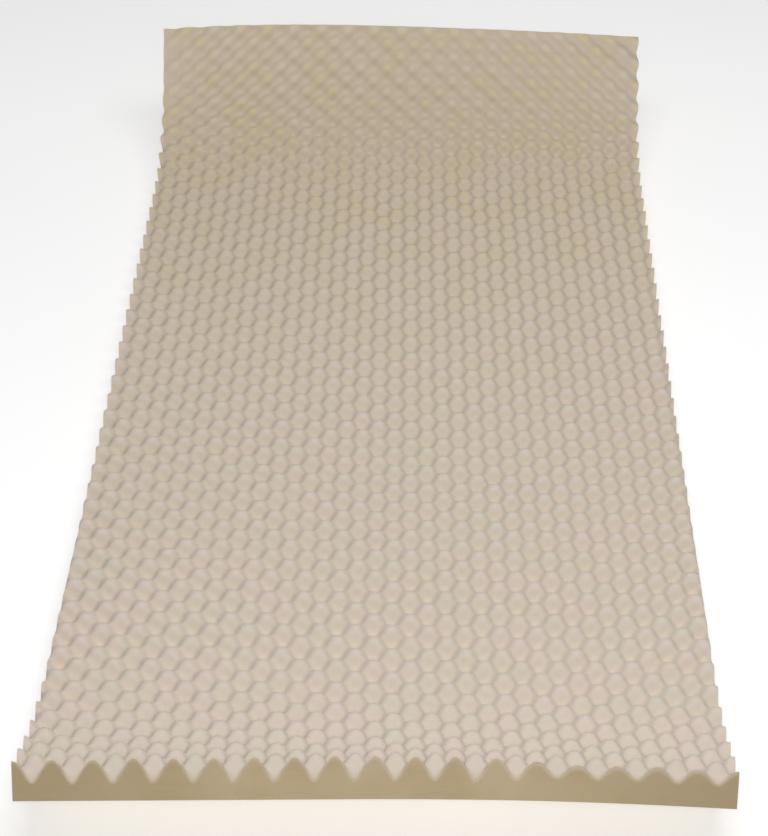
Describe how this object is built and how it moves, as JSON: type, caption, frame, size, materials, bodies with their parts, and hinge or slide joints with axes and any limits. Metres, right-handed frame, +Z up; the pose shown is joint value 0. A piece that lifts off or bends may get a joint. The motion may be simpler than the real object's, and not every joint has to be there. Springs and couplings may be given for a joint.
{
  "type": "mattress topper",
  "caption": "One-piece convoluted foam mattress topper with rounded peaks on top and a flat underside, lying unrolled with its far end curled up.",
  "frame": {"origin": "bottom centre of the topper's box, level with the flat part of its underside", "axes": "+X across the width, +Y along the length towards the high curled end, +Z up"},
  "size_m": [0.845, 1.8126, 0.228],
  "materials": {
    "foam": "bare open-cell polyurethane foam, matte pinkish beige, darker yellowish tan on the cut edges"
  },
  "bodies": {
    "root": {"foam_pad": "foam"}
  },
  "joints": []
}
